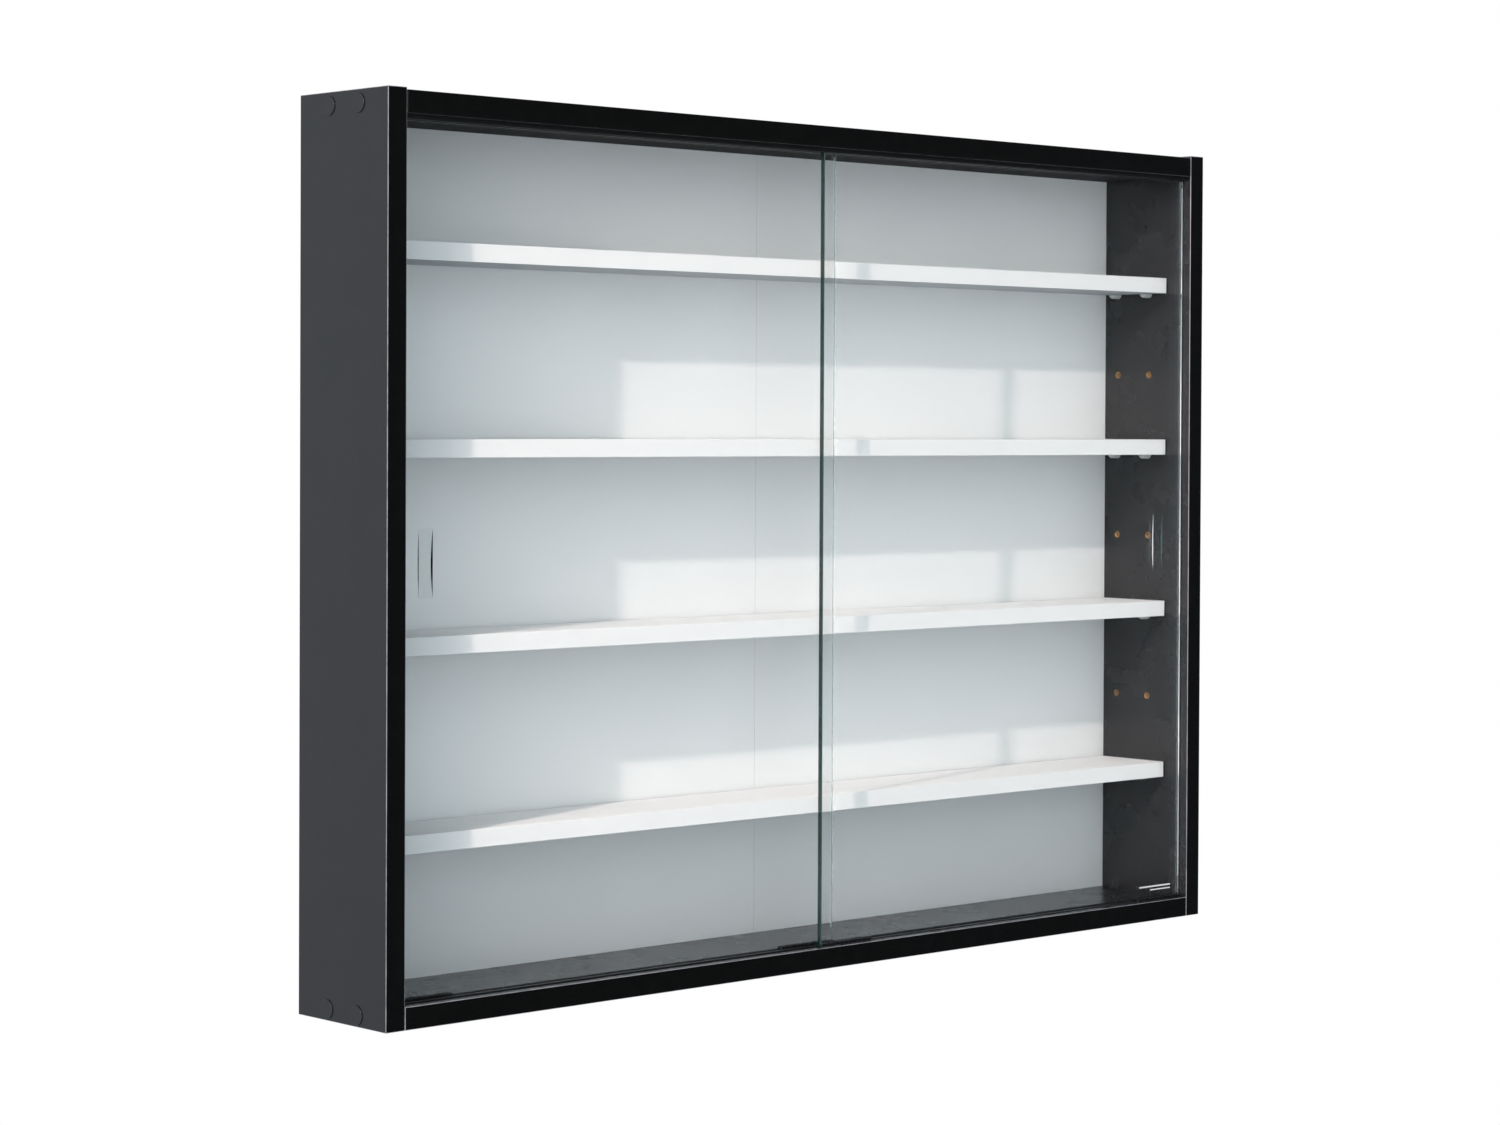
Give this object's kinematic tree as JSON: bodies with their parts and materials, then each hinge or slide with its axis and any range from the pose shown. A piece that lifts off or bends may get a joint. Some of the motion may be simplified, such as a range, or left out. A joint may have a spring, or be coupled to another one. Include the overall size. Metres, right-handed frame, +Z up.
{
  "type": "wall mounted showcase",
  "caption": "Shallow wall showcase: dark board frame, white back and adjustable shelves, glass doors that slide past each other on tracks, keyhole hanger plates.",
  "frame": {"origin": "on the wall plane, at the middle of the top board's rear edge", "axes": "+X to the viewer's right, +Y into the wall, +Z up; the glass doors face -Y"},
  "size_m": [0.8014, 0.095, 0.6],
  "materials": {
    "dark_melamine": "satin dark grey melamine faced chipboard with near-black edge bands",
    "white_back_board": "white faced hardboard",
    "paper_tape": "brown paper tape",
    "white_melamine": "satin white melamine faced chipboard with white edge bands",
    "pale_plastic": "moulded pale plastic",
    "black_plastic": "extruded black plastic",
    "cap_plastic": "satin dark grey stick-on foil cap",
    "tempered_glass": "clear tempered glass with polished green edges",
    "zinc_plated_steel": "zinc plated"
  },
  "bodies": {
    "cabinet": {"left_side_panel": "dark_melamine", "right_side_panel": "dark_melamine", "top_panel": "dark_melamine", "bottom_panel": "dark_melamine", "back_panel_left": "white_back_board", "back_panel_right": "white_back_board", "back_joint_tape": "paper_tape", "shelf_1": "white_melamine", "shelf_2": "white_melamine", "shelf_3": "white_melamine", "shelf_4": "white_melamine", "shelf_support_1_left_front": "pale_plastic", "shelf_support_1_left_rear": "pale_plastic", "shelf_support_1_right_front": "pale_plastic", "shelf_support_1_right_rear": "pale_plastic", "shelf_support_2_left_front": "pale_plastic", "shelf_support_2_left_rear": "pale_plastic", "shelf_support_2_right_front": "pale_plastic", "shelf_support_2_right_rear": "pale_plastic", "shelf_support_3_left_front": "pale_plastic", "shelf_support_3_left_rear": "pale_plastic", "shelf_support_3_right_front": "pale_plastic", "shelf_support_3_right_rear": "pale_plastic", "shelf_support_4_left_front": "pale_plastic", "shelf_support_4_left_rear": "pale_plastic", "shelf_support_4_right_front": "pale_plastic", "shelf_support_4_right_rear": "pale_plastic", "top_track": "black_plastic", "bottom_track": "black_plastic", "connecting_screw_top_left_front": "zinc_plated_steel", "screw_cap_top_left_front": "cap_plastic", "connecting_screw_top_left_rear": "zinc_plated_steel", "screw_cap_top_left_rear": "cap_plastic", "connecting_screw_top_right_front": "zinc_plated_steel", "screw_cap_top_right_front": "cap_plastic", "connecting_screw_top_right_rear": "zinc_plated_steel", "screw_cap_top_right_rear": "cap_plastic", "connecting_screw_bottom_left_front": "zinc_plated_steel", "screw_cap_bottom_left_front": "cap_plastic", "connecting_screw_bottom_left_rear": "zinc_plated_steel", "screw_cap_bottom_left_rear": "cap_plastic", "connecting_screw_bottom_right_front": "zinc_plated_steel", "screw_cap_bottom_right_front": "cap_plastic", "connecting_screw_bottom_right_rear": "zinc_plated_steel", "screw_cap_bottom_right_rear": "cap_plastic", "left_hanger_plate": "zinc_plated_steel", "left_hanger_screw_lower": "zinc_plated_steel", "left_hanger_screw_upper": "zinc_plated_steel", "right_hanger_plate": "zinc_plated_steel", "right_hanger_screw_lower": "zinc_plated_steel", "right_hanger_screw_upper": "zinc_plated_steel"},
    "left_door": {"left_glass_door": "tempered_glass", "left_door_glider_outer": "black_plastic", "left_door_glider_inner": "black_plastic"},
    "right_door": {"right_glass_door": "tempered_glass", "right_door_glider_outer": "black_plastic", "right_door_glider_inner": "black_plastic"}
  },
  "joints": [
    {"name": "left_door_slide", "type": "slide", "parent": "cabinet", "child": "left_door", "axis": [1, 0, 0], "range_m": [0, 0.375]},
    {"name": "right_door_slide", "type": "slide", "parent": "cabinet", "child": "right_door", "axis": [1, 0, 0], "range_m": [-0.375, 0]}
  ]
}
